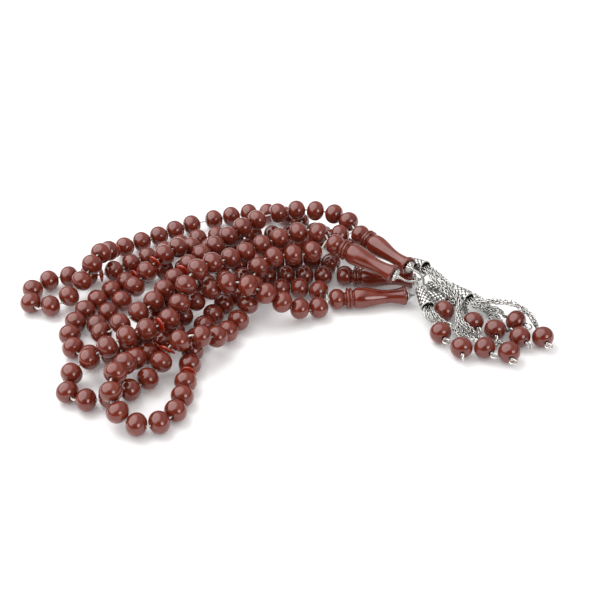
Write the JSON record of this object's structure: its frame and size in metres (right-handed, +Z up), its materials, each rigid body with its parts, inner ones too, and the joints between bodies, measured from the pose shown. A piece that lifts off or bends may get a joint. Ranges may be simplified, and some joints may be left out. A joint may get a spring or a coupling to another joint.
{
  "type": "misbaha prayer beads",
  "caption": "Bundle of prayer bead strings with round resin beads, separator discs, turned leader beads and silver chain tassels.",
  "frame": {"origin": "on the surface that the bundle lies on, at the middle of its bounding box", "axes": "+X towards the tassels, along the longest side; +Z up from the surface"},
  "size_m": [0.2361, 0.1588, 0.029],
  "materials": {
    "resin": "polished resin",
    "disc": "polished resin",
    "cord": "twisted cord",
    "silver": "antique silver"
  },
  "bodies": {
    "strings": {"cord_1": "cord", "beads_first_half_1": "resin", "beads_second_half_1": "resin", "bail_1": "silver", "lattice_cap_1": "silver", "chains_1": "silver", "cord_2": "cord", "beads_first_half_2": "resin", "beads_second_half_2": "resin", "bail_2": "silver", "lattice_cap_2": "silver", "chains_2": "silver", "cord_3": "cord", "beads_first_half_3": "resin", "beads_second_half_3": "resin", "bail_3": "silver", "lattice_cap_3": "silver", "chains_3": "silver", "cord_4": "cord", "beads_first_half_4": "resin", "beads_second_half_4": "resin", "bail_4": "silver", "lattice_cap_4": "silver", "chains_4": "silver", "cord_5": "cord", "beads_first_half_5": "resin", "beads_second_half_5": "resin", "bail_5": "silver", "lattice_cap_5": "silver", "chains_5": "silver"},
    "counting_bead_1": {"counting_bead_1": "resin"},
    "imam_1": {"imam_1": "resin"},
    "separator_first_1": {"separator_first_1": "disc"},
    "pendant_bead_left_1": {"pendant_bead_left_1": "resin"},
    "pendant_bead_right_1": {"pendant_bead_right_1": "resin"},
    "separator_second_1": {"separator_second_1": "disc"},
    "counting_bead_2": {"counting_bead_2": "resin"},
    "imam_2": {"imam_2": "resin"},
    "separator_first_2": {"separator_first_2": "disc"},
    "pendant_bead_left_2": {"pendant_bead_left_2": "resin"},
    "pendant_bead_right_2": {"pendant_bead_right_2": "resin"},
    "separator_second_2": {"separator_second_2": "disc"},
    "counting_bead_3": {"counting_bead_3": "resin"},
    "imam_3": {"imam_3": "resin"},
    "separator_first_3": {"separator_first_3": "disc"},
    "pendant_bead_left_3": {"pendant_bead_left_3": "resin"},
    "pendant_bead_right_3": {"pendant_bead_right_3": "resin"},
    "separator_second_3": {"separator_second_3": "disc"},
    "counting_bead_4": {"counting_bead_4": "resin"},
    "imam_4": {"imam_4": "resin"},
    "separator_first_4": {"separator_first_4": "disc"},
    "pendant_bead_left_4": {"pendant_bead_left_4": "resin"},
    "pendant_bead_right_4": {"pendant_bead_right_4": "resin"},
    "separator_second_4": {"separator_second_4": "disc"},
    "counting_bead_5": {"counting_bead_5": "resin"},
    "imam_5": {"imam_5": "resin"},
    "separator_first_5": {"separator_first_5": "disc"},
    "pendant_bead_left_5": {"pendant_bead_left_5": "resin"},
    "pendant_bead_right_5": {"pendant_bead_right_5": "resin"},
    "separator_second_5": {"separator_second_5": "disc"}
  },
  "joints": [
    {"name": "counting_bead_slide_1", "type": "slide", "parent": "strings", "child": "counting_bead_1", "axis": [0.9824, 0.1866, 0], "range_m": [0, 0.002]},
    {"name": "imam_turn_1", "type": "hinge", "parent": "strings", "child": "imam_1", "pos_m": [0.03874, 0.00679, 0.00485], "axis": [0.9963, 0.0854, 0], "continuous": true},
    {"name": "separator_first_turn_1", "type": "hinge", "parent": "strings", "child": "separator_first_1", "pos_m": [-0.05312, -0.02859, 0.00485], "axis": [-0.6089, -0.7932, 0], "continuous": true},
    {"name": "pendant_bead_left_turn_1", "type": "hinge", "parent": "strings", "child": "pendant_bead_left_1", "pos_m": [0.0693, -0.0177, 0.00485], "axis": [0.3162, -0.9487, 0], "continuous": true},
    {"name": "pendant_bead_right_turn_1", "type": "hinge", "parent": "strings", "child": "pendant_bead_right_1", "pos_m": [0.0773, -0.0277, 0.00485], "axis": [0, -1, 0], "continuous": true},
    {"name": "separator_second_turn_1", "type": "hinge", "parent": "strings", "child": "separator_second_1", "pos_m": [-0.03839, -0.0439, 0.00485], "axis": [0.1127, 0.9936, 0], "continuous": true},
    {"name": "counting_bead_slide_2", "type": "slide", "parent": "strings", "child": "counting_bead_2", "axis": [-0.684, -0.6901, 0.2365], "range_m": [0, 0.002]},
    {"name": "imam_turn_2", "type": "hinge", "parent": "strings", "child": "imam_2", "pos_m": [0.03579, 0.01881, 0.01835], "axis": [0.8279, -0.5424, -0.1427], "continuous": true},
    {"name": "separator_first_turn_2", "type": "hinge", "parent": "strings", "child": "separator_first_2", "pos_m": [-0.05108, -0.02589, 0.01584], "axis": [-0.7664, -0.6402, 0.0535], "continuous": true},
    {"name": "pendant_bead_left_turn_2", "type": "hinge", "parent": "strings", "child": "pendant_bead_left_2", "pos_m": [0.0723, -0.0027, 0.00485], "axis": [-0.8, -0.6, 0], "continuous": true},
    {"name": "pendant_bead_right_turn_2", "type": "hinge", "parent": "strings", "child": "pendant_bead_right_2", "pos_m": [0.0843, -0.0107, 0.00485], "axis": [0.3511, -0.9363, 0], "continuous": true},
    {"name": "separator_second_turn_2", "type": "hinge", "parent": "strings", "child": "separator_second_2", "pos_m": [-0.04709, -0.0366, 0.01134], "axis": [0.4323, 0.7133, 0.5516], "continuous": true},
    {"name": "counting_bead_slide_3", "type": "slide", "parent": "strings", "child": "counting_bead_3", "axis": [-0.9118, -0.4107, -0.0028], "range_m": [0, 0.002]},
    {"name": "imam_turn_3", "type": "hinge", "parent": "strings", "child": "imam_3", "pos_m": [0.04589, 0.0312, 0.01435], "axis": [0.6623, -0.7487, -0.0288], "continuous": true},
    {"name": "separator_first_turn_3", "type": "hinge", "parent": "strings", "child": "separator_first_3", "pos_m": [-0.04483, 0.01295, 0.01485], "axis": [-0.464, -0.8858, 0], "continuous": true},
    {"name": "pendant_bead_left_turn_3", "type": "hinge", "parent": "strings", "child": "pendant_bead_left_3", "pos_m": [0.0933, -0.0157, 0.00485], "axis": [0, -1, 0], "continuous": true},
    {"name": "pendant_bead_right_turn_3", "type": "hinge", "parent": "strings", "child": "pendant_bead_right_3", "pos_m": [0.1033, -0.0207, 0.00485], "axis": [0.53, -0.848, 0], "continuous": true},
    {"name": "separator_second_turn_3", "type": "hinge", "parent": "strings", "child": "separator_second_3", "pos_m": [-0.0576, 0.02103, 0.01413], "axis": [0.6246, 0.7302, 0.2771], "continuous": true},
    {"name": "counting_bead_slide_4", "type": "slide", "parent": "strings", "child": "counting_bead_4", "axis": [-0.9428, -0.3334, 0], "range_m": [0, 0.002]},
    {"name": "imam_turn_4", "type": "hinge", "parent": "strings", "child": "imam_4", "pos_m": [0.02671, 0.05037, 0.00485], "axis": [0.8232, -0.5677, 0], "continuous": true},
    {"name": "separator_first_turn_4", "type": "hinge", "parent": "strings", "child": "separator_first_4", "pos_m": [-0.07946, 0.04061, 0.00651], "axis": [-0.46, -0.7773, 0.4291], "continuous": true},
    {"name": "pendant_bead_left_turn_4", "type": "hinge", "parent": "strings", "child": "pendant_bead_left_4", "pos_m": [0.0873, -0.0277, 0.00485], "axis": [0.53, -0.848, 0], "continuous": true},
    {"name": "pendant_bead_right_turn_4", "type": "hinge", "parent": "strings", "child": "pendant_bead_right_4", "pos_m": [0.0973, -0.0307, 0.00485], "axis": [0.124, -0.9923, 0], "continuous": true},
    {"name": "separator_second_turn_4", "type": "hinge", "parent": "strings", "child": "separator_second_4", "pos_m": [-0.08358, 0.02397, 0.00485], "axis": [0.9858, 0.168, 0], "continuous": true},
    {"name": "counting_bead_slide_5", "type": "slide", "parent": "strings", "child": "counting_bead_5", "axis": [-0.9957, -0.0922, 0], "range_m": [0, 0.002]},
    {"name": "imam_turn_5", "type": "hinge", "parent": "strings", "child": "imam_5", "pos_m": [0.04274, 0.02181, 0.00485], "axis": [0.9963, -0.0854, 0], "continuous": true},
    {"name": "separator_first_turn_5", "type": "hinge", "parent": "strings", "child": "separator_first_5", "pos_m": [-0.05718, -0.01497, 0.00485], "axis": [-0.35, -0.9368, 0], "continuous": true},
    {"name": "pendant_bead_left_turn_5", "type": "hinge", "parent": "strings", "child": "pendant_bead_left_5", "pos_m": [0.1033, -0.0097, 0.00485], "axis": [0.8, -0.6, 0], "continuous": true},
    {"name": "pendant_bead_right_turn_5", "type": "hinge", "parent": "strings", "child": "pendant_bead_right_5", "pos_m": [0.1133, -0.0207, 0.00485], "axis": [0.2425, -0.9701, 0], "continuous": true},
    {"name": "separator_second_turn_5", "type": "hinge", "parent": "strings", "child": "separator_second_5", "pos_m": [-0.06786, 0.02208, 0.00485], "axis": [0.7311, 0.6823, 0], "continuous": true}
  ]
}
